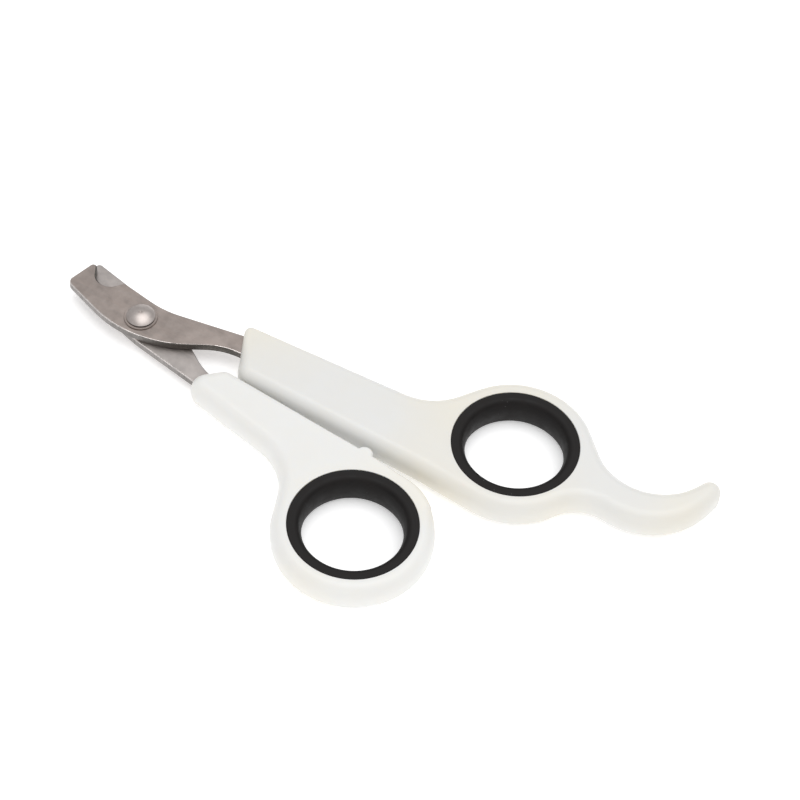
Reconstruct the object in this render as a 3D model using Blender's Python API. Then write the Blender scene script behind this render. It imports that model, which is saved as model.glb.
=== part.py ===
"""Scissor nail clipper for pets: two stamped steel blades on one rivet, each blade's tang
held in a moulded plastic handle, with a rubber ring in each finger hole.

The outlines are drawn in millimetres on a datum that lies on the parting line of the two
handles, level with the rivet: +X runs from the blade tips towards the finger rest, +Y to
the finger rest's side, and z = 0 is the surface the clipper lies on. A placement empty then
puts the origin at the middle of the whole box, on that surface.
"""

import math

import bmesh
import bpy
from mathutils import Vector

MM = 0.001

# Gaps between separate pieces.
SEAT_GAP = 0.30     # a piece held in a moulded seat or pocket
STACK_GAP = 0.10    # flat faces stacked on the rivet
RUN_GAP = 0.08      # radial clearance of the rivet in its holes

# Handles.
HANDLE_HEIGHT = 6.0
EDGE_ROUND = 1.8
RING_RADIUS = 13.8
UPPER_RING = (70.26, 11.79, RING_RADIUS)
LOWER_RING = (56.15, -17.73, RING_RADIUS)
RING_SHOULDER = (57.77, -15.43, 11.0)   # flattens the lower ring beside the other handle
LOWER_FRONT = (20.85, -4.2, 2.0)
HOOK_BACK = (90.9, 22.0, 13.2)
HOOK_FILLET = 7.3
STOP_X = 49.9
STOP_RADIUS = 1.5
STOP_EDGE = 0.75
STOP_HEIGHT = 1.1
STOP_SINK = 2.2

# Rubber inserts.
FLANGE_RADIUS = 11.07
FLANGE_THICKNESS = 0.9
WAIST_RADIUS = 10.1
BORE_RADIUS = 8.55          # at mid-height, where the bore is narrowest
LIP_RADIUS = 9.85
LIP_STEPS = 4
LIP_POWER = 2.4             # how quickly the bore flares towards its mouths
FLANGE_EDGE = 0.2

# Blades and rivet.
BLADE_THICKNESS = 1.4
BLADE_CHAMFER = 0.12
BLADE_GAP = 0.15
PIVOT = (0.4, -0.3)
SHANK_RADIUS = 1.6
HEAD_RADIUS = 2.52
HEAD_HEIGHT = 1.0
HEAD_EDGE = 0.1
DIMPLE_RADIUS = 0.3
DIMPLE_DEPTH = 0.12
TAIL_RADIUS = 2.4
TAIL_HEIGHT = 0.8
TAIL_ROUND = (0.6, 0.5)     # width and height of the pan head's rounded edge
WASHER_RADIUS = 3.0
WASHER_THICKNESS = 0.25
WASHER_EDGE = 0.08
LOCK_HOLE_RADIUS = 1.2
UPPER_LOCK = (34.0, 4.9)
LOWER_LOCK = (33.0, -6.9)

MID_HEIGHT = HANDLE_HEIGHT / 2
UPPER_BLADE_Z = MID_HEIGHT + BLADE_GAP / 2
LOWER_BLADE_Z = MID_HEIGHT - BLADE_GAP / 2 - BLADE_THICKNESS
ARC_STEP = math.radians(9)
ROUND_STEPS = 3
INSERT_STEPS = 48
RIVET_STEPS = 32
BAR_STEPS = 20
DOME_STEPS = 7
TAIL_STEPS = 3
EMBED = 1.0                 # how far a cutter runs past the face it cuts
SHARP_ANGLE = math.radians(35)
MERGE_DISTANCE = 1e-7
TOUCH_SLACK = 0.001         # keeps two touching discs from counting as crossed

# Colours as linear RGB.
PLASTIC_WHITE = (0.80, 0.79, 0.75)
RUBBER_BLACK = (0.018, 0.017, 0.017)
STEEL_GREY = (0.46, 0.43, 0.41)
RIVET_GREY = (0.55, 0.52, 0.50)


def fillet_between(first, second, radius, side):
    """The disc outside two discs, touching both; side is +1 for left of the line first to second."""
    reach_first = first[2] + radius
    reach_second = second[2] + radius
    dx = second[0] - first[0]
    dy = second[1] - first[1]
    span = math.hypot(dx, dy)
    along = (reach_first**2 - reach_second**2 + span**2) / (2 * span)
    away = math.sqrt(reach_first**2 - along**2) + TOUCH_SLACK
    x = first[0] + (along * dx - side * away * dy) / span
    y = first[1] + (along * dy + side * away * dx) / span
    return (x, y, -radius)


# Each outline is a string pulled round discs (x, y, radius), anticlockwise. The outline keeps
# a disc of positive radius inside it and passes a disc of negative radius on the outside.
UPPER_HANDLE = [
    (23.6, 0.9, 2.7),                    # front corner beside the other handle
    (58.0, -46.6, -45.0),                # slight waist before the ring
    UPPER_RING,
    fillet_between(UPPER_RING, HOOK_BACK, HOOK_FILLET, -1),
    HOOK_BACK,
    (102.45, 22.5, 1.9),                 # tip of the finger rest
    (90.4, 26.4, -10.6),                 # saddle of the finger rest
    UPPER_RING,
    (47.9, 21.1, -10.0),
    (19.7, 6.4, 1.9),                    # outer front corner
]
LOWER_HANDLE = [
    (18.8, -6.6, 2.7),                   # outer front corner
    (31.0, -22.9, -11.5),
    LOWER_RING,
    RING_SHOULDER,
    LOWER_FRONT,
]
UPPER_BLADE = [
    (-14.0, 0.05, 1.2),                  # back corner of the tip
    (-0.92, 17.7, 21.95),                # belly round the rivet
    (20.2, -9.95, -12.7),                # neck
    (41.2, 4.3, 1.0),
    (41.2, 6.6, 1.0),
    (18.4, 4.6, 1.9),                    # shoulder inside the handle's mouth
    (2.1, 21.6, -18.1),
    (-6.45, 4.05, 0.4),
    (-9.8, 4.8, -2.9),                   # claw notch
    (-13.6, 4.5, 0.68),                  # hooked nose
]
LOWER_BLADE = [
    (-13.45, 0.35, 0.6),                 # nose
    (-9.9, -1.3, -2.9),                  # claw notch
    (-6.5, -1.65, 0.4),
    (7.5, 25.3, 30.0),
    (39.2, -8.4, 1.0),
    (39.2, -5.6, 1.0),
    (20.4, 9.45, -13.0),
    (-1.9, -17.9, 22.0),
    (-13.35, 5.95, 0.7),                 # far corner of the tip
]


def clear_scene():
    for obj in list(bpy.data.objects):
        bpy.data.objects.remove(obj, do_unlink=True)
    for mesh in list(bpy.data.meshes):
        bpy.data.meshes.remove(mesh)


def string_round(discs, inset=0.0):
    """Points of the outline pulled round the discs, moved inwards by inset."""
    headings = []
    for here, after in zip(discs, discs[1:] + discs[:1]):
        dx = after[0] - here[0]
        dy = after[1] - here[1]
        lean = math.asin((here[2] - after[2]) / math.hypot(dx, dy))
        headings.append(math.atan2(dy, dx) + lean)
    points = []
    for index, (x, y, radius) in enumerate(discs):
        start = headings[index - 1]
        turn = (headings[index] - start) % math.tau
        if radius < 0:
            turn -= math.tau
        steps = max(1, math.ceil(abs(turn) / ARC_STEP))
        reach = radius - inset
        for step in range(steps + 1):
            heading = start + turn * step / steps
            points.append((x + reach * math.sin(heading), y - reach * math.cos(heading)))
    return points


def mesh_object(name, bm, parent):
    bmesh.ops.recalc_face_normals(bm, faces=bm.faces)
    mesh = bpy.data.meshes.new(name)
    bm.to_mesh(mesh)
    bm.free()
    obj = bpy.data.objects.new(name, mesh)
    bpy.context.scene.collection.objects.link(obj)
    obj.parent = parent
    if parent:
        obj.location = -parent.location
    return obj


def slab(name, discs, bottom, top, edge, steps, parent=None, grow=0.0):
    """A plate of the outline, its two rims rounded (or chamfered, with one step) by edge."""
    quarter = [math.pi / 2 * step / steps for step in range(steps + 1)]
    levels = [(edge * (1 - math.sin(a)), bottom + edge * (1 - math.cos(a))) for a in quarter]
    levels += [(inset, top + bottom - z) for inset, z in reversed(levels)]
    bm = bmesh.new()
    loops = []
    for inset, z in levels:
        ring = string_round(discs, inset - grow)
        loops.append([bm.verts.new((x * MM, y * MM, z * MM)) for x, y in ring])
    for low, high in zip(loops, loops[1:]):
        for index, corner in enumerate(low):
            bm.faces.new((low[index - 1], corner, high[index], high[index - 1]))
    bm.faces.new(loops[0])
    bm.faces.new(loops[-1])
    return mesh_object(name, bm, parent)


def turned(name, profile, centre, steps, parent=None):
    """A solid of revolution about the vertical through centre, from a closed (radius, z) profile."""
    bm = bmesh.new()
    verts = [bm.verts.new(((centre[0] + r) * MM, centre[1] * MM, z * MM)) for r, z in profile]
    edges = [bm.edges.new(pair) for pair in zip(verts, verts[1:] + verts[:1])]
    bmesh.ops.spin(
        bm,
        geom=verts + edges,
        cent=(centre[0] * MM, centre[1] * MM, 0.0),
        axis=(0.0, 0.0, 1.0),
        angle=math.tau,
        steps=steps,
        use_merge=True,
    )
    bmesh.ops.remove_doubles(bm, verts=bm.verts, dist=MERGE_DISTANCE)
    return mesh_object(name, bm, parent)


def round_bar(name, centre, radius, bottom, top, steps=BAR_STEPS):
    """An upright round bar, extruded from its base."""
    bm = bmesh.new()
    ring = [math.tau * step / steps for step in range(steps)]
    outline = [(centre[0] + radius * math.cos(a), centre[1] + radius * math.sin(a)) for a in ring]
    face = bm.faces.new([bm.verts.new((x * MM, y * MM, bottom * MM)) for x, y in outline])
    grown = bmesh.ops.extrude_face_region(bm, geom=[face])
    lifted = [item for item in grown["geom"] if isinstance(item, bmesh.types.BMVert)]
    bmesh.ops.translate(bm, verts=lifted, vec=(0.0, 0.0, (top - bottom) * MM))
    return mesh_object(name, bm, None)


def hide_cutter(cutter, owner):
    cutter.hide_render = True
    cutter.display_type = "WIRE"
    cutter.parent = owner.parent
    cutter.location = owner.location


def boolean(target, other, operation="DIFFERENCE"):
    hide_cutter(other, target)
    modifier = target.modifiers.new(operation.title() + "_" + other.name, "BOOLEAN")
    modifier.operation = operation
    modifier.solver = "EXACT"
    modifier.object = other


def material(name, colour, metallic, roughness):
    made = bpy.data.materials.new(name)
    made.use_nodes = True
    shader = made.node_tree.nodes["Principled BSDF"]
    shader.inputs["Base Color"].default_value = (*colour, 1.0)
    shader.inputs["Metallic"].default_value = metallic
    shader.inputs["Roughness"].default_value = roughness
    made.diffuse_color = (*colour, 1.0)
    return made


def finish(obj, made):
    obj.data.materials.append(made)
    obj.data.shade_smooth()
    obj.data.set_sharp_from_angle(angle=SHARP_ANGLE)
    return obj


def insert_seat(name, centre):
    """Cutter for a finger hole: a through bore with a counterbore at each face."""
    bore = WAIST_RADIUS + SEAT_GAP
    counterbore = FLANGE_RADIUS + SEAT_GAP
    depth = FLANGE_THICKNESS + SEAT_GAP
    profile = [
        (counterbore, HANDLE_HEIGHT + EMBED),
        (counterbore, HANDLE_HEIGHT - depth),
        (bore, HANDLE_HEIGHT - depth),
        (bore, depth),
        (counterbore, depth),
        (counterbore, -EMBED),
        (0.0, -EMBED),
        (0.0, HANDLE_HEIGHT + EMBED),
    ]
    return turned(name, profile, centre, INSERT_STEPS)


def tang_pocket(name, blade, blade_z, lock):
    """Cutter for a tang's pocket. A moulded pin stays standing through the tang's lock hole."""
    low = blade_z - SEAT_GAP
    high = blade_z + BLADE_THICKNESS + SEAT_GAP
    pocket = slab(name, blade, low, high, BLADE_CHAMFER, 1, grow=SEAT_GAP)
    pin = round_bar(name + "_pin", lock, LOCK_HOLE_RADIUS - SEAT_GAP, low - EMBED, high + EMBED)
    boolean(pocket, pin)
    return pocket


def make_handle(name, outline, ring, blade, blade_z, lock, parent):
    handle = slab(name, outline, 0.0, HANDLE_HEIGHT, EDGE_ROUND, ROUND_STEPS, parent)
    boolean(handle, insert_seat(name + "_seat", ring))
    boolean(handle, tang_pocket(name + "_pocket", blade, blade_z, lock))
    return handle


def inner_edge_at(x):
    """Height of the lower handle's inner edge, the string between its front corner and its ring."""
    dx = RING_SHOULDER[0] - LOWER_FRONT[0]
    dy = RING_SHOULDER[1] - LOWER_FRONT[1]
    radius = LOWER_FRONT[2]
    lean = math.asin((RING_SHOULDER[2] - radius) / math.hypot(dx, dy))
    heading = math.atan2(dy, dx) + lean
    start = (LOWER_FRONT[0] - radius * math.sin(heading), LOWER_FRONT[1] + radius * math.cos(heading))
    return start[1] + (x - start[0]) * math.tan(heading)


def add_stop(handle):
    """The rounded bump that meets the other handle when the clipper is shut."""
    crest = inner_edge_at(STOP_X) + STOP_HEIGHT
    outline = [
        (STOP_X, crest - STOP_RADIUS, STOP_RADIUS),
        (STOP_X, crest - STOP_RADIUS - STOP_SINK, STOP_RADIUS),
    ]
    stop = slab("stop_bump", outline, STOP_EDGE, HANDLE_HEIGHT - STOP_EDGE, STOP_EDGE, ROUND_STEPS)
    boolean(handle, stop, "UNION")


def make_blade(name, outline, bottom, lock, parent):
    top = bottom + BLADE_THICKNESS
    blade = slab(name, outline, bottom, top, BLADE_CHAMFER, 1, parent)
    cut = (bottom - EMBED, top + EMBED)
    bore = round_bar(name + "_bore", PIVOT, SHANK_RADIUS + RUN_GAP, *cut, RIVET_STEPS)
    hole = round_bar(name + "_lock", lock, LOCK_HOLE_RADIUS, *cut)
    boolean(blade, bore)
    boolean(blade, hole)
    return blade


def make_insert(name, centre, parent):
    """Rubber grommet: two flanges, a waist between them, and a bore that swells in at mid-height."""
    top = HANDLE_HEIGHT
    profile = []
    for step in range(-LIP_STEPS, LIP_STEPS + 1):
        rise = math.sin(math.pi / 2 * step / LIP_STEPS)
        flare = (LIP_RADIUS - BORE_RADIUS) * abs(rise) ** LIP_POWER
        profile.append((BORE_RADIUS + flare, MID_HEIGHT * (1 - rise)))
    profile += [
        (FLANGE_RADIUS - FLANGE_EDGE, 0.0),
        (FLANGE_RADIUS, FLANGE_EDGE),
        (FLANGE_RADIUS, FLANGE_THICKNESS),
        (WAIST_RADIUS, FLANGE_THICKNESS),
        (WAIST_RADIUS, top - FLANGE_THICKNESS),
        (FLANGE_RADIUS, top - FLANGE_THICKNESS),
        (FLANGE_RADIUS, top - FLANGE_EDGE),
        (FLANGE_RADIUS - FLANGE_EDGE, top),
    ]
    return turned(name, profile, centre, INSERT_STEPS, parent)


def make_washer(name, parent):
    low = UPPER_BLADE_Z + BLADE_THICKNESS + STACK_GAP
    high = low + WASHER_THICKNESS
    hole = SHANK_RADIUS + RUN_GAP
    profile = [
        (hole, low),
        (WASHER_RADIUS, low),
        (WASHER_RADIUS, high - WASHER_EDGE),
        (WASHER_RADIUS - WASHER_EDGE, high),
        (hole, high),
    ]
    return turned(name, profile, PIVOT, RIVET_STEPS, parent)


def make_rivet(name, parent):
    """Pan head below, plain shank, and a domed head above with a small centre dimple."""
    tail_top = LOWER_BLADE_Z - STACK_GAP
    tail_base = tail_top - TAIL_HEIGHT
    head_base = UPPER_BLADE_Z + BLADE_THICKNESS + 2 * STACK_GAP + WASHER_THICKNESS
    apex = head_base + HEAD_HEIGHT
    rise = HEAD_HEIGHT - HEAD_EDGE
    sphere = (HEAD_RADIUS**2 + rise**2) / (2 * rise)
    profile = [(0.0, tail_base)]
    for step in range(TAIL_STEPS + 1):
        turn = math.pi / 2 * step / TAIL_STEPS
        radius = TAIL_RADIUS - TAIL_ROUND[0] * (1 - math.sin(turn))
        profile.append((radius, tail_base + TAIL_ROUND[1] * (1 - math.cos(turn))))
    profile += [
        (TAIL_RADIUS, tail_top),
        (SHANK_RADIUS, tail_top),
        (SHANK_RADIUS, head_base),
        (HEAD_RADIUS - HEAD_EDGE, head_base),
    ]
    for step in range(DOME_STEPS + 1):
        radius = HEAD_RADIUS + (DIMPLE_RADIUS - HEAD_RADIUS) * step / DOME_STEPS
        profile.append((radius, apex - sphere + math.sqrt(sphere**2 - radius**2)))
    profile.append((0.0, apex - DIMPLE_DEPTH))
    return turned(name, profile, PIVOT, RIVET_STEPS, parent)


def body_empty(name, datum, placement):
    """An empty on the joint's axis. mesh_object moves its pieces back onto the drawing's datum."""
    empty = bpy.data.objects.new(name, None)
    bpy.context.scene.collection.objects.link(empty)
    empty.parent = placement
    empty.location = datum * MM
    return empty


def stand_at_origin(placement, nodes):
    """Moves the placement so that the origin is at the middle of the box, on its base."""
    bpy.context.view_layer.update()
    corners = [node.matrix_world @ Vector(corner) for node in nodes for corner in node.bound_box]
    low = [min(corner[axis] for corner in corners) for axis in range(3)]
    high = [max(corner[axis] for corner in corners) for axis in range(3)]
    placement.location = Vector((-(low[0] + high[0]) / 2, -(low[1] + high[1]) / 2, -low[2]))
    bpy.context.view_layer.update()


def build():
    clear_scene()
    placement = bpy.data.objects.new("placement", None)
    bpy.context.scene.collection.objects.link(placement)
    pivot = Vector((PIVOT[0], PIVOT[1], 0.0))
    upper = body_empty("upper_half", pivot, placement)
    lower = body_empty("lower_half", pivot, placement)

    plastic = material("white_plastic", PLASTIC_WHITE, metallic=0.0, roughness=0.38)
    rubber = material("black_rubber", RUBBER_BLACK, metallic=0.0, roughness=0.62)
    steel = material("brushed_steel", STEEL_GREY, metallic=1.0, roughness=0.34)
    bright = material("rivet_steel", RIVET_GREY, metallic=1.0, roughness=0.22)

    finger_rest_handle = make_handle(
        "finger_rest_handle", UPPER_HANDLE, UPPER_RING, UPPER_BLADE, UPPER_BLADE_Z, UPPER_LOCK, upper
    )
    plain_handle = make_handle(
        "plain_handle", LOWER_HANDLE, LOWER_RING, LOWER_BLADE, LOWER_BLADE_Z, LOWER_LOCK, lower
    )
    add_stop(plain_handle)
    upper_blade = make_blade("upper_blade", UPPER_BLADE, UPPER_BLADE_Z, UPPER_LOCK, upper)
    lower_blade = make_blade("lower_blade", LOWER_BLADE, LOWER_BLADE_Z, LOWER_LOCK, lower)
    nodes = [
        finish(finger_rest_handle, plastic),
        finish(plain_handle, plastic),
        finish(upper_blade, steel),
        finish(lower_blade, steel),
        finish(make_insert("upper_ring_insert", UPPER_RING, upper), rubber),
        finish(make_insert("lower_ring_insert", LOWER_RING, lower), rubber),
        finish(make_rivet("pivot_rivet", upper), bright),
        finish(make_washer("rivet_washer", upper), bright),
    ]
    stand_at_origin(placement, nodes)


build()
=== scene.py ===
"""Looks of the scissor nail clipper: moulded handles, stamped blades, domed rivet and rubber
rings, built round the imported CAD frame.

Outlines are drawn in millimetres on the same datum as the CAD: +X from the blade tips to the
finger rest, +Y to the finger rest's side, z = 0 on the surface the clipper lies on. The datum's
place in the frame comes from the rivet. A string pulled round discs makes each outline.
"""

import math

import bmesh
import bpy
from mathutils import Matrix, Vector


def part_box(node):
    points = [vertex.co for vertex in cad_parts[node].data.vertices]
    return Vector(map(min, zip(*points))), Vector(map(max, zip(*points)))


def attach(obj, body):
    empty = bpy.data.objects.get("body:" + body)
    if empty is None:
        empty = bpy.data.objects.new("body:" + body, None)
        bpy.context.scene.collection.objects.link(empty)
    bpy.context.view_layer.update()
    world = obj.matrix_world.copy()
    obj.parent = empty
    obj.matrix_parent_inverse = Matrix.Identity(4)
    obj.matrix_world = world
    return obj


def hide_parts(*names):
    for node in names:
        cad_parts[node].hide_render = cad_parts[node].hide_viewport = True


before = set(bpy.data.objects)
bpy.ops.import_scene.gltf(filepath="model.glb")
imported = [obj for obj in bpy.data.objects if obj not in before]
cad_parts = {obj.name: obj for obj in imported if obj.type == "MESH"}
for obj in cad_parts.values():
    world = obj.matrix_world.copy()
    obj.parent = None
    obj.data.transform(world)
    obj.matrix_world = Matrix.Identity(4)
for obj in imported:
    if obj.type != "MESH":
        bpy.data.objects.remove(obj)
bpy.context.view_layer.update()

MM = 0.001

# Handles, in millimetres.
HEIGHT = 6.0
RING_RADIUS = 13.8
UPPER_RING = (70.26, 11.79)
LOWER_RING = (56.15, -17.73)
HOOK_BACK = (90.9, 22.0, 13.2)
HOOK_FILLET = 7.3
STOP_X = 49.9
STOP_RADIUS = 1.5
STOP_HEIGHT = 1.1
STOP_FILLET = 0.2
STOP_EDGE = 0.6
RIM_RISE = 1.12               # height of the handles' rounded rims over their width

# Rubber inserts.
FLANGE_RADIUS = 11.07
FLANGE_THICKNESS = 0.9
WAIST_RADIUS = 10.1
SEAT_CLEARANCE = 0.03
SEAT_RIM = 0.12               # eased corner of the seat's mouth
SEAT_RIM_MIDDLE = 0.3         # share of it left at the corner's middle
FLANGE_CORNER = [(0.16, 0.0), (0.05, 0.05), (0.0, 0.16)]     # (inset, depth from the face)
UPPER_LIP = [                 # (radius, depth below the upper face) down to mid-height
    (9.95, 0.0),
    (9.72, 0.04),
    (9.46, 0.15),
    (9.24, 0.32),
    (9.06, 0.56),
    (8.94, 0.84),
    (8.84, 1.15),
    (8.68, 1.60),
    (8.58, 2.10),
    (8.54, 2.60),
]
LOWER_LIP = [                 # (radius, height over the lower face) from mid-height down
    (8.54, 2.9),
    (8.60, 2.2),
    (8.74, 1.6),
    (8.92, 1.0),
    (9.07, 0.6),
    (9.26, 0.25),
    (9.50, 0.06),
    (9.80, 0.0),
]

# Blades and rivet.
PIVOT = (0.4, -0.3)
UPPER_BLADE_Z = (3.02, 4.475)
LOWER_BLADE_Z = (1.525, 2.98)
MOUTH_GAP = 0.22              # round a blade where it enters its handle
MOUTH_EDGE = 0.12
SHANK_RADIUS = 1.6
BORE_RADIUS = 1.65
BORE_RELIEF = 0.10
STACK_SLIT = 0.02             # between faces stacked on the rivet
HEAD_RADIUS = 2.58
HEAD_BASE = 4.78
HEAD_TOP = 5.925
DOME_RIM = 0.22               # height of the dome's rim over the head's base
HEAD_UNDERCUT = [(0.38, 0.0), (0.34, 0.10), (0.05, 0.15)]    # (inset, height over the base)
PUNCH_RADIUS = 0.34
PUNCH_MARK = [(0.29, 0.05), (0.22, 0.17), (0.0, 0.19)]       # (radius, depth below the top)
WASHER_RADIUS = 3.0
WASHER_LOW_CORNER = (0.04, 0.05)      # inset and height
WASHER_HIGH_CORNER = 0.07
TAIL_RADIUS = 2.4
TAIL_BASE = 0.625
TAIL_ROUND = (0.6, 0.5)       # width and height of the pan head's rounded edge
LOCK_HOLE_RADIUS = 1.2
UPPER_LOCK = (34.0, 4.9)
LOWER_LOCK = (33.0, -6.9)

# Mesh density and shading.
ARC_STEP = math.radians(4)
LINE_STEP = 1.2
HANDLE_EASE = 4.0             # reach along the outline over which the rounding evens out
BLADE_EASE = 0.8
EASE_RISE = 0.1
HOLE_STEPS = 96
ROUND_STEPS = 8
TAIL_STEPS = 8
DOME_STEPS = 18
CREASE = math.radians(32)
LEVEL = 0.99999               # upright share of the normal of a face that lies flat
TOUCH_SLACK = 0.001           # keeps two touching discs from counting as crossed

# Colours as linear RGB.
PLASTIC_WARM = (0.835, 0.805, 0.725)
PLASTIC_COOL = (0.805, 0.803, 0.785)
PLASTIC_DULL = (0.790, 0.775, 0.725)
TUMBLED_STEEL = (0.385, 0.335, 0.308)
GROUND_STEEL = (0.49, 0.455, 0.435)
# A brighter tint for the rims facing the near side: a painted highlight.
RIM_PAINTED_HIGHLIGHT = (0.86, 0.81, 0.78)
UNSHADED_SHEAR = (0.33, 0.31, 0.30)
DRAGGED_SHEAR = (0.06, 0.055, 0.05)
# Painted shade on the cut edges towards the handle and in the claw notch, for shadow and dark
# reflections.
OUTER_SHADED_SHEAR = (0.13, 0.12, 0.11)
INNER_SHADED_SHEAR = (0.20, 0.19, 0.18)
RIVET_DARK = (0.47, 0.42, 0.395)
RIVET_LIGHT = (0.56, 0.51, 0.485)
RUBBER_DARK = (0.0048, 0.0040, 0.0038)
RUBBER_LIGHT = (0.0105, 0.0085, 0.0080)
DUST = (0.12, 0.12, 0.12)
PAPER_DARK = (0.90, 0.90, 0.90)
PAPER_LIGHT = (0.93, 0.93, 0.93)

# Where the painted shade on the cut edges sets in, in metres on the drawing's datum.
OUTER_DARKEST_AT = 0.009
INNER_DARKEST_AT = 0.022
SHEAR_FADE = 0.013
NOTCH_FADE = (0.0006, 0.0014)


def fillet_between(first, second, radius, side):
    """The disc outside two discs, touching both; side is +1 for left of the line first to second."""
    reach_first = first[2] + radius
    reach_second = second[2] + radius
    dx = second[0] - first[0]
    dy = second[1] - first[1]
    span = math.hypot(dx, dy)
    along = (reach_first**2 - reach_second**2 + span**2) / (2 * span)
    away = math.sqrt(reach_first**2 - along**2) + TOUCH_SLACK
    x = first[0] + (along * dx - side * away * dy) / span
    y = first[1] + (along * dy + side * away * dx) / span
    return (x, y, -radius)


def heading_between(here, after):
    """Direction of the straight string from one disc to the next."""
    dx = after[0] - here[0]
    dy = after[1] - here[1]
    return math.atan2(dy, dx) + math.asin((here[2] - after[2]) / math.hypot(dx, dy))


def stop_bump(before, after):
    """Discs of a rounded bump, with a small fillet at each foot, on the string between two discs."""
    heading = heading_between(before, after)
    along = (math.cos(heading), math.sin(heading))
    out = (math.sin(heading), -math.cos(heading))
    start = (before[0] + before[2] * out[0], before[1] + before[2] * out[1])
    travel = (STOP_X - start[0]) / along[0]
    sink = STOP_RADIUS - STOP_HEIGHT
    middle = (STOP_X, start[1] + travel * along[1])
    centre = (middle[0] - sink * out[0], middle[1] - sink * out[1])
    reach = STOP_RADIUS + STOP_FILLET + TOUCH_SLACK
    foot = math.sqrt(reach**2 - (STOP_FILLET + sink) ** 2)
    discs = []
    for side in (-1, 1):
        x = middle[0] + side * foot * along[0] + STOP_FILLET * out[0]
        y = middle[1] + side * foot * along[1] + STOP_FILLET * out[1]
        discs.append((x, y, -STOP_FILLET, STOP_EDGE))
    discs.insert(1, (*centre, STOP_RADIUS, STOP_EDGE))
    return discs


# Each outline is a string pulled round discs (x, y, radius, edge), anticlockwise. The outline
# keeps a disc of positive radius inside it and passes a disc of negative radius on the outside.
# Edge is how far the rim is rounded off there; a disc without one has BLADE_EDGE.
UPPER_RING_DISC = (*UPPER_RING, RING_RADIUS)
LOWER_RING_DISC = (*LOWER_RING, RING_RADIUS)
UPPER_HANDLE = [
    (23.6, 0.9, 2.7, 2.1),               # front corner beside the other handle
    (58.0, -46.6, -45.0, 2.3),           # slight waist before the ring
    (*UPPER_RING_DISC, 2.2),
    (*fillet_between(UPPER_RING_DISC, HOOK_BACK, HOOK_FILLET, -1), 2.3),
    (*HOOK_BACK, 2.4),
    (102.45, 22.5, 1.9, 1.8),            # tip of the finger rest
    (90.4, 26.4, -10.6, 1.9),            # saddle of the finger rest
    (*UPPER_RING_DISC, 1.8),
    (47.9, 21.1, -10.0, 1.8),
    (19.0, 7.05, 1.2, 0.8),              # outer front corner
]
LOWER_FRONT = (20.85, -4.2, 2.0, 1.6)
RING_SHOULDER = (57.77, -15.43, 11.0, 1.0)   # flattens the lower ring beside the other handle
LOWER_HANDLE = [
    (18.8, -6.6, 2.7, 2.5),              # outer front corner
    (31.0, -22.9, -11.5, 2.2),
    (*LOWER_RING_DISC, 2.2),
    RING_SHOULDER,
    *stop_bump(RING_SHOULDER, LOWER_FRONT),
    LOWER_FRONT,
]
BLADE_EDGE = 0.16
WALL_SLOPE = 0.45             # vertical share of a blade face's normal below which it is a wall
FLAT_SLOPE = 0.999            # and below which it is the rounded rim
NOTCH_SIDE = 0.12             # least x of the normal of a rim that takes the sheared finish's painted shade, as in the notch
BACK_SIDE = -0.05             # greatest y of the normal along the blade's back, where rims get the painted highlight
UPPER_BLADE = [
    (-14.0, 0.05, 1.2),                  # back corner of the tip
    (-0.92, 17.7, 21.95),                # belly round the rivet
    (20.2, -9.95, -12.7),                # neck
    (41.2, 4.3, 1.0),
    (41.2, 6.6, 1.0),
    (18.4, 4.6, 1.9),                    # shoulder inside the handle's mouth
    (2.1, 21.6, -18.1),
    (-6.45, 4.05, 0.4),
    (-9.8, 4.8, -2.66, 0.42),            # claw notch, ground to a bevel
    (-13.6, 4.5, 0.68, 0.3),             # hooked nose
]
LOWER_BLADE = [
    (-13.45, 0.35, 0.6),                 # nose
    (-9.9, -1.3, -2.9),                  # claw notch
    (-6.5, -1.65, 0.4),
    (7.5, 25.3, 30.0),
    (39.2, -8.4, 1.0),
    (39.2, -5.6, 1.0),
    (20.4, 9.45, -13.0),
    (-1.9, -17.9, 22.0),
    (-13.35, 5.95, 0.7),                 # far corner of the tip
]

rivet_low, rivet_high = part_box("pivot_rivet")
rivet_centre = (rivet_low + rivet_high) / 2
DATUM = Vector((rivet_centre.x - PIVOT[0] * MM, rivet_centre.y - PIVOT[1] * MM, 0.0))


def world_point(x, y, z):
    return DATUM + Vector((x, y, z)) * MM


# Mesh building.

def edge_at(disc):
    """How far the rim is rounded off at a disc."""
    return disc[3] if len(disc) > 3 else BLADE_EDGE


def string_points(discs, ease_reach):
    """Points (x, y, outward x, outward y, edge) of the outline pulled round the discs."""
    headings = [heading_between(here, after) for here, after in zip(discs, discs[1:] + discs[:1])]
    points = []
    for index, disc in enumerate(discs):
        x, y, radius = disc[:3]
        start = headings[index - 1]
        turn = (headings[index] - start) % math.tau
        if radius < 0:
            turn -= math.tau
        steps = max(1, math.ceil(abs(turn) / ARC_STEP))
        for step in range(steps + 1):
            heading = start + turn * step / steps
            out = (math.sin(heading), -math.cos(heading))
            points.append((x + radius * out[0], y + radius * out[1], *out, edge_at(disc)))
        points.extend(straight_run(points[-1], discs[(index + 1) % len(discs)], headings[index]))
    return ease_edges(points, ease_reach)


def straight_run(start, after, heading):
    """Points between two discs, where the edge's rounding goes from one to the other."""
    out = (math.sin(heading), -math.cos(heading))
    end = (after[0] + after[2] * out[0], after[1] + after[2] * out[1])
    steps = math.ceil(math.dist(start[:2], end) / LINE_STEP)
    run = []
    for step in range(1, steps):
        t = step / steps
        x = start[0] + (end[0] - start[0]) * t
        y = start[1] + (end[1] - start[1]) * t
        run.append((x, y, *out, start[4] + (edge_at(after) - start[4]) * t))
    return run


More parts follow.
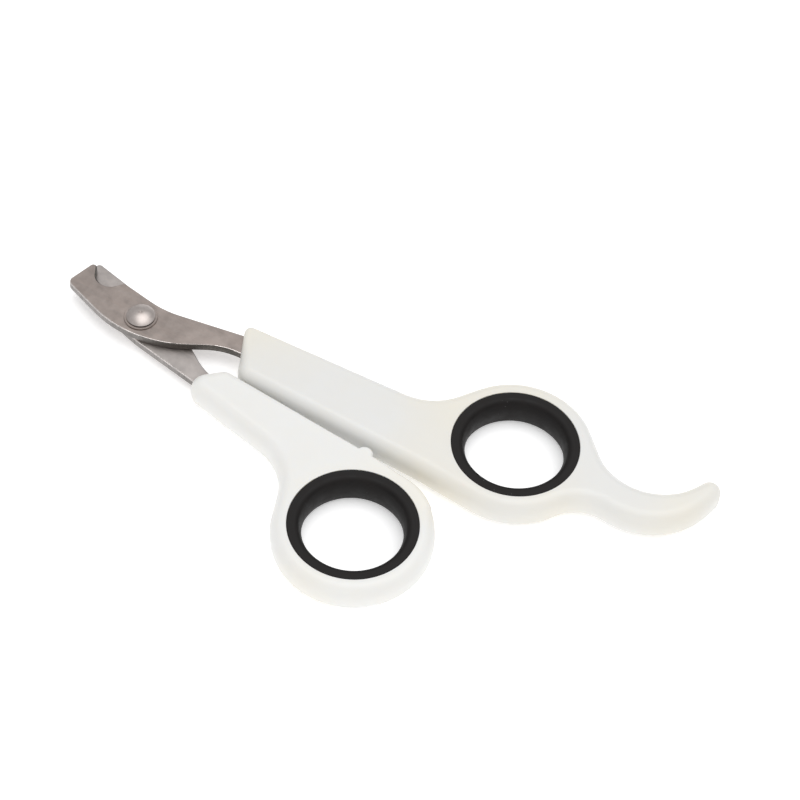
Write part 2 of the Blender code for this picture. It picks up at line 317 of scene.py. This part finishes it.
def ease_edges(points, reach):
    """Evens out the rounding along the outline, and never lets it grow past a tight corner's."""
    eased = []
    for x, y, nx, ny, edge in points:
        total = 0.0
        share = 0.0
        for other in points:
            weight = max(0.0, 1 - math.dist((x, y), other[:2]) / reach)
            total += weight * other[4]
            share += weight
        eased.append((x, y, nx, ny, min(edge + EASE_RISE, total / share)))
    return eased


def add_loop(bm, points):
    return [bm.verts.new((x * MM, y * MM, z * MM)) for x, y, z in points]


def skin(bm, loops):
    """Faces between each loop and the next, closed round."""
    for low, high in zip(loops, loops[1:]):
        for index, corner in enumerate(low):
            bm.faces.new((low[index - 1], corner, high[index], high[index - 1]))


def cap(bm, loops):
    """Fills the flat face between an outer loop and the loops of its holes."""
    edges = []
    for loop in loops:
        for index, corner in enumerate(loop):
            pair = (loop[index - 1], corner)
            edges.append(bm.edges.get(pair) or bm.edges.new(pair))
    bmesh.ops.triangle_fill(bm, use_beauty=True, edges=edges)


def circle(centre, radius, z):
    turns = [math.tau * step / HOLE_STEPS for step in range(HOLE_STEPS)]
    return [(centre[0] + radius * math.cos(a), centre[1] + radius * math.sin(a), z) for a in turns]


def plate(name, discs, bottom, top, holes, rim_rise=1.0, ease_reach=BLADE_EASE):
    """A plate of the outline with rounded rims, and holes as (centre, profile of (radius, z)).
    A rim is rim_rise times as high as it is wide."""
    outline = string_points(discs, ease_reach)
    bm = bmesh.new()
    levels = []
    for step in range(ROUND_STEPS + 1):
        turn = math.pi / 2 * step / ROUND_STEPS
        inset = 1 - math.sin(turn)
        rise = (1 - math.cos(turn)) * rim_rise
        level = []
        for x, y, nx, ny, edge in outline:
            level.append((x - nx * edge * inset, y - ny * edge * inset, bottom + edge * rise))
        levels.append(level)
    upper = [[(x, y, top + bottom - z) for x, y, z in level] for level in reversed(levels)]
    loops = [add_loop(bm, level) for level in levels + upper]
    skin(bm, loops)
    lows = [loops[0]]
    highs = [loops[-1]]
    for centre, profile in holes:
        walls = [add_loop(bm, circle(centre, radius, z)) for radius, z in profile]
        skin(bm, walls)
        highs.append(walls[0])
        lows.append(walls[-1])
    cap(bm, lows)
    cap(bm, highs)
    return mesh_object(name, bm)


def lathe(name, centre, profile):
    """A solid of revolution from a closed (radius, z) profile; a radius of 0 is a pole."""
    bm = bmesh.new()
    rings = []
    for radius, z in profile:
        if radius > 0:
            rings.append(add_loop(bm, circle(centre, radius, z)))
        else:
            rings.append([bm.verts.new((centre[0] * MM, centre[1] * MM, z * MM))])
    for low, high in zip(rings, rings[1:] + rings[:1]):
        if len(low) == 1 and len(high) == 1:
            continue
        for index in range(HOLE_STEPS):
            corners = [low[(index - 1) % len(low)], low[index % len(low)]]
            corners += [high[index % len(high)], high[(index - 1) % len(high)]]
            bm.faces.new(list(dict.fromkeys(corners)))
    return mesh_object(name, bm)


def mesh_object(name, bm):
    bmesh.ops.recalc_face_normals(bm, faces=bm.faces)
    mesh = bpy.data.meshes.new(name)
    bm.to_mesh(mesh)
    bm.free()
    obj = bpy.data.objects.new(name, mesh)
    bpy.context.scene.collection.objects.link(obj)
    obj.location = DATUM
    return obj


def cut(obj, cutter):
    """Cuts one mesh from another and keeps the result."""
    modifier = obj.modifiers.new("cut", "BOOLEAN")
    modifier.operation = "DIFFERENCE"
    modifier.solver = "EXACT"
    modifier.object = cutter
    bpy.context.view_layer.update()
    graph = bpy.context.evaluated_depsgraph_get()
    cut_mesh = bpy.data.meshes.new_from_object(obj.evaluated_get(graph))
    obj.modifiers.clear()
    old = obj.data
    obj.data = cut_mesh
    bpy.data.meshes.remove(old)
    bpy.data.objects.remove(cutter, do_unlink=True)


def smooth(obj):
    """Smooth shading with sharp creases, and flat faces that stay flat up to their rounded rims."""
    mesh = obj.data
    mesh.shade_smooth()
    mesh.set_sharp_from_angle(angle=CREASE)
    flat_up = set()
    flat_down = set()
    for face in mesh.polygons:
        if abs(face.normal.z) > LEVEL:
            (flat_up if face.normal.z > 0 else flat_down).update(face.vertices)
    shared = math.cos(CREASE)
    normals = [Vector(n.vector) for n in mesh.corner_normals]
    for face in mesh.polygons:
        for corner in face.loop_indices:
            vertex = mesh.loops[corner].vertex_index
            if face.normal.z > shared and vertex in flat_up:
                normals[corner] = Vector((0.0, 0.0, 1.0))
            elif face.normal.z < -shared and vertex in flat_down:
                normals[corner] = Vector((0.0, 0.0, -1.0))
    mesh.normals_split_custom_set(normals)
    return obj


# Materials.

class Shader:
    """Short calls for building one material's nodes."""

    def __init__(self, name):
        self.material = bpy.data.materials.new(name)
        self.material.use_nodes = True
        self.tree = self.material.node_tree
        self.surface = self.tree.nodes["Principled BSDF"]
        self.place = self.tree.nodes.new("ShaderNodeTexCoord").outputs["Object"]

    def link(self, source, target):
        self.tree.links.new(source, target)

    def set(self, **values):
        for name, value in values.items():
            self.surface.inputs[name.replace("_", " ")].default_value = value

    def stretched(self, scale, turn=0.0):
        """Object coordinates scaled along each axis after a turn about the vertical."""
        node = self.tree.nodes.new("ShaderNodeMapping")
        node.inputs["Rotation"].default_value = (0.0, 0.0, turn)
        node.inputs["Scale"].default_value = scale
        self.link(self.place, node.inputs["Vector"])
        return node.outputs["Vector"]

    def noise(self, scale, detail=3.0, roughness=0.5, place=None):
        node = self.tree.nodes.new("ShaderNodeTexNoise")
        node.inputs["Scale"].default_value = scale
        node.inputs["Detail"].default_value = detail
        node.inputs["Roughness"].default_value = roughness
        self.link(place or self.place, node.inputs["Vector"])
        return node.outputs["Fac"]

    def speckle(self, scale, reach):
        """1 at scattered points, falling to 0 over reach of a cell."""
        node = self.tree.nodes.new("ShaderNodeTexVoronoi")
        node.inputs["Scale"].default_value = scale
        self.link(self.place, node.inputs["Vector"])
        return self.span(node.outputs["Distance"], 0.0, reach, 1.0, 0.0)

    def span(self, value, low, high, out_low=0.0, out_high=1.0):
        node = self.tree.nodes.new("ShaderNodeMapRange")
        self.link(value, node.inputs["Value"])
        node.inputs["From Min"].default_value = low
        node.inputs["From Max"].default_value = high
        node.inputs["To Min"].default_value = out_low
        node.inputs["To Max"].default_value = out_high
        return node.outputs["Result"]

    def math(self, operation, first, second):
        node = self.tree.nodes.new("ShaderNodeMath")
        node.operation = operation
        self.link(first, node.inputs[0])
        self.link(second, node.inputs[1])
        return node.outputs["Value"]

    def blend(self, factor, first, second):
        """Colour going from first to second; each is an RGB tuple or a socket."""
        node = self.tree.nodes.new("ShaderNodeMix")
        node.data_type = "RGBA"
        self.link(factor, node.inputs["Factor"])
        for socket, value in ((node.inputs[6], first), (node.inputs[7], second)):
            if isinstance(value, tuple):
                socket.default_value = (*value, 1.0)
            else:
                self.link(value, socket)
        return node.outputs[2]

    def bump(self, height, strength, distance, before=None):
        node = self.tree.nodes.new("ShaderNodeBump")
        node.inputs["Strength"].default_value = strength
        node.inputs["Distance"].default_value = distance
        self.link(height, node.inputs["Height"])
        if before:
            self.link(before, node.inputs["Normal"])
        return node.outputs["Normal"]


def plastic_material(name, shade):
    """Satin moulded plastic, milky, with a fine grain and faint drifts of warmth."""
    s = Shader(name)
    # shade below 1 dims every colour of this copy, painting shade over a whole handle.
    warm = tuple(value * shade for value in PLASTIC_WARM)
    cool = tuple(value * shade for value in PLASTIC_COOL)
    dull = tuple(value * shade for value in PLASTIC_DULL)
    drift = s.span(s.noise(38.0, detail=1.0), 0.40, 0.60)
    cloud = s.span(s.noise(160.0, detail=2.0), 0.35, 0.65, 0.0, 0.25)
    colour = s.blend(drift, warm, cool)
    colour = s.blend(cloud, colour, dull)
    s.link(colour, s.surface.inputs["Base Color"])
    s.link(s.span(s.noise(900.0, detail=3.0), 0.3, 0.7, 0.30, 0.42), s.surface.inputs["Roughness"])
    grain = s.bump(s.noise(7000.0, detail=2.0), 0.10, 0.00002)
    ripple = s.bump(s.noise(420.0, detail=1.0), 0.05, 0.00006, grain)
    s.link(ripple, s.surface.inputs["Normal"])
    s.set(Subsurface_Weight=0.20, Subsurface_Radius=(1.0, 0.9, 0.75), Subsurface_Scale=0.0012)
    s.set(IOR=1.48)
    return s.material


def steel_material(name, tint, brush_turn, roughness):
    """Tumbled stainless sheet: mottled, with fine streaks turned by brush_turn from the x axis."""
    s = Shader(name)
    mottle = s.noise(330.0, detail=5.0, roughness=0.62)
    drawn_out = s.stretched((260.0, 3800.0, 2600.0), brush_turn)
    streaks = s.noise(1.0, detail=4.0, roughness=0.6, place=drawn_out)
    dark = tuple(0.86 * value for value in tint)
    light = tuple(min(1.0, 1.10 * value) for value in tint)
    warm = (tint[0] * 1.06, tint[1] * 0.985, tint[2] * 0.96)
    colour = s.blend(s.span(mottle, 0.36, 0.64), dark, light)
    colour = s.blend(s.span(streaks, 0.35, 0.75, 0.0, 0.45), colour, warm)
    s.link(colour, s.surface.inputs["Base Color"])
    mottled = s.span(mottle, 0.3, 0.7, -0.05, 0.05)
    streaked = s.span(streaks, 0.3, 0.7, roughness - 0.04, roughness + 0.06)
    s.link(s.math("ADD", mottled, streaked), s.surface.inputs["Roughness"])
    fine = s.bump(streaks, 0.12, 0.00002)
    pits = s.bump(s.noise(2600.0, detail=3.0), 0.10, 0.00002, fine)
    s.link(pits, s.surface.inputs["Normal"])
    s.set(Metallic=1.0)
    return s.material


def sheared_edge_and_shade_material(name, darkest_at, dark):
    """A blade's cut edge, dragged vertically by the press, with painted shade: dark in the claw
    notch and towards the handle, from darkest_at on, for shadow and dark reflections there."""
    s = Shader(name)
    drag = s.noise(1.0, detail=4.0, roughness=0.6, place=s.stretched((2600.0, 2600.0, 420.0)))
    cloud = s.noise(420.0, detail=3.0)
    split = s.tree.nodes.new("ShaderNodeSeparateXYZ")
    s.link(s.place, split.inputs["Vector"])
    # Painted shade: darker along x towards the handle and across y into the claw notch.
    along = s.span(split.outputs["X"], darkest_at - SHEAR_FADE, darkest_at)
    notch = s.span(split.outputs["Y"], *NOTCH_FADE)
    colour = s.blend(s.math("MAXIMUM", along, notch), UNSHADED_SHEAR, dark)
    colour = s.blend(s.span(drag, 0.35, 0.70, 0.0, 0.35), colour, DRAGGED_SHEAR)
    s.link(colour, s.surface.inputs["Base Color"])
    s.link(s.span(cloud, 0.3, 0.7, 0.42, 0.58), s.surface.inputs["Roughness"])
    s.link(s.bump(drag, 0.25, 0.00003), s.surface.inputs["Normal"])
    s.set(Metallic=1.0)
    return s.material


def rivet_material():
    """Polished rivet steel with light handling marks."""
    s = Shader("polished_rivet_steel")
    cloud = s.noise(700.0, detail=4.0, roughness=0.6)
    colour = s.blend(s.span(cloud, 0.35, 0.65), RIVET_DARK, RIVET_LIGHT)
    s.link(colour, s.surface.inputs["Base Color"])
    s.link(s.span(cloud, 0.3, 0.7, 0.40, 0.48), s.surface.inputs["Roughness"])
    s.link(s.bump(s.noise(3000.0, detail=2.0), 0.08, 0.00002), s.surface.inputs["Normal"])
    s.set(Metallic=1.0)
    return s.material


def rubber_material():
    """Soft black rubber, matt, with a fine skin and a few pale specks of dust."""
    s = Shader("black_rubber")
    cloud = s.noise(500.0, detail=4.0, roughness=0.6)
    colour = s.blend(s.span(cloud, 0.3, 0.7), RUBBER_DARK, RUBBER_LIGHT)
    dusty = s.span(s.noise(260.0, detail=0.0), 0.62, 0.66)
    colour = s.blend(s.math("MULTIPLY", s.speckle(900.0, 0.10), dusty), colour, DUST)
    s.link(colour, s.surface.inputs["Base Color"])
    s.link(s.span(cloud, 0.3, 0.7, 0.52, 0.70), s.surface.inputs["Roughness"])
    s.set(Specular_IOR_Level=0.26)
    s.link(s.bump(s.noise(5200.0, detail=2.0), 0.22, 0.00003), s.surface.inputs["Normal"])
    return s.material


def floor_material():
    """White paper sweep that glows a little, so that its shadows stay faint."""
    s = Shader("white_sweep")
    paper = s.blend(s.noise(9.0, detail=2.0), PAPER_DARK, PAPER_LIGHT)
    s.link(paper, s.surface.inputs["Base Color"])
    s.set(Roughness=0.9, Specular_IOR_Level=0.1, Emission_Color=(1.0, 1.0, 1.0, 1.0))
    s.set(Emission_Strength=0.36)
    return s.material


# Pieces.

def insert_hole(ring):
    """Hole of a finger ring: through bore, with a seat for the insert's flange at each face."""
    seat = FLANGE_RADIUS + SEAT_CLEARANCE
    bore = WAIST_RADIUS + SEAT_CLEARANCE
    depth = FLANGE_THICKNESS + SEAT_CLEARANCE
    middle = SEAT_RIM * SEAT_RIM_MIDDLE
    profile = [
        (seat + SEAT_RIM, HEIGHT),
        (seat + middle, HEIGHT - middle),
        (seat, HEIGHT - SEAT_RIM),
        (seat, HEIGHT - depth),
        (bore, HEIGHT - depth),
    ]
    return (ring, profile + [(radius, HEIGHT - z) for radius, z in reversed(profile)])


def make_handle(name, discs, ring, blade, blade_z):
    """A moulding with its finger hole and the pocket that holds its blade's tang."""
    hole = insert_hole(ring)
    handle = plate(name, discs, 0.0, HEIGHT, [hole], rim_rise=RIM_RISE, ease_reach=HANDLE_EASE)
    grown = [(*disc[:2], disc[2] + MOUTH_GAP, MOUTH_EDGE) for disc in blade]
    pocket = plate(name + "_pocket", grown, blade_z[0] - MOUTH_GAP, blade_z[1] + MOUTH_GAP, [])
    cut(handle, pocket)
    return smooth(handle)


def make_blade(name, discs, height, lock):
    """A blade with its rivet bore, eased at both faces, and the lock hole in its tang."""
    low, high = height
    bore = [(BORE_RADIUS + BORE_RELIEF, high), (BORE_RADIUS, high - BORE_RELIEF)]
    bore += [(BORE_RADIUS, low + BORE_RELIEF), (BORE_RADIUS + BORE_RELIEF, low)]
    lock_hole = [(LOCK_HOLE_RADIUS, high), (LOCK_HOLE_RADIUS, low)]
    return smooth(plate(name, discs, low, high, [(PIVOT, bore), (lock, lock_hole)]))


def make_insert(name, ring):
    """Grommet: a flange at each face and a bore that swells in at mid-height."""
    profile = [(radius, HEIGHT - depth) for radius, depth in UPPER_LIP]
    profile += LOWER_LIP
    profile += [(FLANGE_RADIUS - inset, depth) for inset, depth in FLANGE_CORNER]
    profile += [
        (FLANGE_RADIUS, FLANGE_THICKNESS),
        (WAIST_RADIUS, FLANGE_THICKNESS),
        (WAIST_RADIUS, HEIGHT - FLANGE_THICKNESS),
        (FLANGE_RADIUS, HEIGHT - FLANGE_THICKNESS),
    ]
    profile += [(FLANGE_RADIUS - inset, HEIGHT - depth) for inset, depth in reversed(FLANGE_CORNER)]
    return smooth(lathe(name, ring, profile))


def make_rivet(name):
    """Pan head below, plain shank, and a domed head above with an undercut rim and a punch mark."""
    tail_top = LOWER_BLADE_Z[0] - STACK_SLIT
    rise = HEAD_TOP - HEAD_BASE - DOME_RIM
    sphere = (HEAD_RADIUS**2 + rise**2) / (2 * rise)
    profile = [(0.0, TAIL_BASE)]
    for step in range(TAIL_STEPS + 1):
        turn = math.pi / 2 * step / TAIL_STEPS
        radius = TAIL_RADIUS - TAIL_ROUND[0] * (1 - math.sin(turn))
        profile.append((radius, TAIL_BASE + TAIL_ROUND[1] * (1 - math.cos(turn))))
    profile += [(TAIL_RADIUS, tail_top), (SHANK_RADIUS, tail_top), (SHANK_RADIUS, HEAD_BASE)]
    profile += [(HEAD_RADIUS - inset, HEAD_BASE + height) for inset, height in HEAD_UNDERCUT]
    for step in range(DOME_STEPS + 1):
        radius = HEAD_RADIUS + (PUNCH_RADIUS - HEAD_RADIUS) * step / DOME_STEPS
        profile.append((radius, HEAD_TOP - sphere + math.sqrt(sphere**2 - radius**2)))
    profile += [(radius, HEAD_TOP - depth) for radius, depth in PUNCH_MARK]
    return smooth(lathe(name, PIVOT, profile))


def make_washer(name):
    """A plain washer between the upper blade and the rivet's head."""
    low = UPPER_BLADE_Z[1] + STACK_SLIT
    high = HEAD_BASE - STACK_SLIT
    profile = [
        (BORE_RADIUS, low),
        (WASHER_RADIUS - WASHER_LOW_CORNER[0], low),
        (WASHER_RADIUS, low + WASHER_LOW_CORNER[1]),
        (WASHER_RADIUS, high - WASHER_HIGH_CORNER),
        (WASHER_RADIUS - WASHER_HIGH_CORNER, high),
        (BORE_RADIUS, high),
    ]
    return smooth(lathe(name, PIVOT, profile))


def finish_edges(blade, sheared, rim):
    """Gives a blade's walls, and the rims that lean towards the handle as in its notch, the
    sheared finish with its painted shade, and the rims along its back a brighter tint, a
    painted highlight. The rest keeps its own."""
    blade.data.materials.append(sheared)
    blade.data.materials.append(rim)
    for face in blade.data.polygons:
        slope = abs(face.normal.z)
        # Walls take the sheared finish; rims leaning towards +x take it too, as painted shadow along the
        # notch.
        if slope < WALL_SLOPE or (slope < FLAT_SLOPE and face.normal.x > NOTCH_SIDE):
            face.material_index = 1
        # Rims facing the near side take the brighter tint, a painted highlight line.
        elif slope < FLAT_SLOPE and face.normal.y < BACK_SIDE:
            face.material_index = 2


def place(obj, material, body, node, slot):
    """Gives a piece its finish and puts it on its body, in place of its CAD node."""
    obj.data.materials.append(material)
    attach(obj, body)
    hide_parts(node)


def build_object():
    # The finger-rest half's plastic is dimmed to 0.94: painted shade, for less light falling on that
    # handle.
    shaded_plastic = plastic_material("shaded_white_plastic", shade=0.94)
    inner_plastic = plastic_material("inner_white_plastic", shade=1.0)
    rubber = rubber_material()
    outer_steel = steel_material("tumbled_steel", TUMBLED_STEEL, brush_turn=-0.16, roughness=0.40)
    inner_steel = steel_material("ground_steel", GROUND_STEEL, brush_turn=0.5, roughness=0.36)
    rim = steel_material("painted_highlight_rim", RIM_PAINTED_HIGHLIGHT, brush_turn=-0.16, roughness=0.22)
    outer_edge = sheared_edge_and_shade_material("outer_sheared_edge_and_shade", OUTER_DARKEST_AT, OUTER_SHADED_SHEAR)
    inner_edge = sheared_edge_and_shade_material("inner_sheared_edge_and_shade", INNER_DARKEST_AT, INNER_SHADED_SHEAR)
    rivet = rivet_material()
    upper = "finger_rest_half"
    lower = "plain_half"
    handle = make_handle("finger_rest_moulding", UPPER_HANDLE, UPPER_RING, UPPER_BLADE, UPPER_BLADE_Z)
    place(handle, shaded_plastic, upper, "finger_rest_handle", "handle_plastic")
    handle = make_handle("plain_moulding", LOWER_HANDLE, LOWER_RING, LOWER_BLADE, LOWER_BLADE_Z)
    place(handle, inner_plastic, lower, "plain_handle", "handle_plastic")
    blade = make_blade("upper_stamped_blade", UPPER_BLADE, UPPER_BLADE_Z, UPPER_LOCK)
    place(blade, outer_steel, upper, "upper_blade", "blade_steel")
    finish_edges(blade, outer_edge, rim)
    blade = make_blade("lower_stamped_blade", LOWER_BLADE, LOWER_BLADE_Z, LOWER_LOCK)
    place(blade, inner_steel, lower, "lower_blade", "blade_steel")
    finish_edges(blade, inner_edge, rim)
    insert = make_insert("upper_rubber_ring", UPPER_RING)
    place(insert, rubber, upper, "upper_ring_insert", "insert_rubber")
    insert = make_insert("lower_rubber_ring", LOWER_RING)
    place(insert, rubber, lower, "lower_ring_insert", "insert_rubber")
    place(make_rivet("domed_rivet"), rivet, upper, "pivot_rivet", "rivet_steel")
    place(make_washer("plain_washer"), outer_steel, upper, "rivet_washer", "rivet_steel")


# Studio. The floor and the lights are in metres, and the camera in millimetres on the datum.

FLOOR_HALF = 0.9
FLOOR_DROP = 0.00002
CAMERA_AIM = (48.92, 8.65, 6.0)
CAMERA_DISTANCE = 403.0
CAMERA_TURN = (28.2, 52.02, 4.67)     # azimuth, elevation and roll, in degrees
LENS = 104.94
SENSOR_WIDTH = 36.0
CLIP_RANGE = (0.01, 10.0)
LIGHT_AIM = (40.0, 0.0, 0.0)          # in millimetres on the datum
SKY_COLOUR = (0.985, 0.99, 1.0, 1.0)
SKY_STRENGTH = 0.56
PLAIN_LIGHT = (1.0, 1.0, 1.0)
WARM_LIGHT = (1.0, 0.95, 0.87)


def make_floor():
    bm = bmesh.new()
    corners = [(-1, -1), (1, -1), (1, 1), (-1, 1)]
    bm.faces.new([bm.verts.new((x * FLOOR_HALF, y * FLOOR_HALF, 0.0)) for x, y in corners])
    floor = mesh_object("studio_floor", bm)
    floor.location = (0.0, 0.0, -FLOOR_DROP)
    floor.data.materials.append(floor_material())


def view_axes(azimuth, elevation, roll):
    """Right, up and back of a camera at that azimuth, elevation and roll, in degrees."""
    a = math.radians(azimuth)
    e = math.radians(elevation)
    r = math.radians(roll)
    level = Vector((math.cos(a), math.sin(a), 0.0))
    lift = Vector((-math.sin(a) * math.sin(e), math.cos(a) * math.sin(e), math.cos(e)))
    back = Vector((math.sin(a) * math.cos(e), -math.cos(a) * math.cos(e), math.sin(e)))
    right = math.cos(r) * level + math.sin(r) * lift
    up = math.cos(r) * lift - math.sin(r) * level
    return right, up, back


def make_camera():
    right, up, back = view_axes(*CAMERA_TURN)
    data = bpy.data.cameras.new("camera")
    data.lens = LENS
    data.sensor_width = SENSOR_WIDTH
    data.clip_start, data.clip_end = CLIP_RANGE
    camera = bpy.data.objects.new("camera", data)
    bpy.context.scene.collection.objects.link(camera)
    place_at = world_point(*CAMERA_AIM) + back * CAMERA_DISTANCE * MM
    camera.matrix_world = Matrix((
        (right.x, up.x, back.x, place_at.x),
        (right.y, up.y, back.y, place_at.y),
        (right.z, up.z, back.z, place_at.z),
        (0.0, 0.0, 0.0, 1.0),
    ))
    bpy.context.scene.camera = camera


def soft_box(name, direction, distance, size, power, colour):
    """A rectangular area light facing the clipper from a direction."""
    data = bpy.data.lights.new(name, "AREA")
    data.color = colour
    data.shape = "RECTANGLE"
    data.size = size[0]
    data.size_y = size[1]
    data.energy = power
    light = bpy.data.objects.new(name, data)
    bpy.context.scene.collection.objects.link(light)
    direction = direction.normalized()
    light.location = world_point(*LIGHT_AIM) + direction * distance
    light.rotation_mode = "QUATERNION"
    light.rotation_quaternion = direction.to_track_quat("Z", "Y")


def make_lights():
    """A pale sky, a large softbox nearly overhead, and a weak warm one low on the camera's side."""
    world = bpy.data.worlds.new("studio_world")
    world.use_nodes = True
    sky = world.node_tree.nodes["Background"]
    sky.inputs["Color"].default_value = SKY_COLOUR
    sky.inputs["Strength"].default_value = SKY_STRENGTH
    bpy.context.scene.world = world
    right, _, back = view_axes(*CAMERA_TURN)
    level_back = Vector((back.x, back.y, 0.0)).normalized()
    level_right = Vector((right.x, right.y, 0.0)).normalized()
    overhead = level_back * -0.05 + level_right * 0.12 + Vector((0.0, 0.0, 1.0))
    soft_box("key_softbox", overhead, distance=0.9, size=(0.9, 0.9), power=5.3, colour=PLAIN_LIGHT)
    low_front = level_back * 1.0 - level_right * 0.15 + Vector((0.0, 0.0, 0.30))
    soft_box("low_front_softbox", low_front, distance=0.8, size=(0.8, 0.3), power=0.75, colour=WARM_LIGHT)


build_object()
make_floor()
make_camera()
make_lights()
bpy.context.scene.view_settings.view_transform = "Standard"
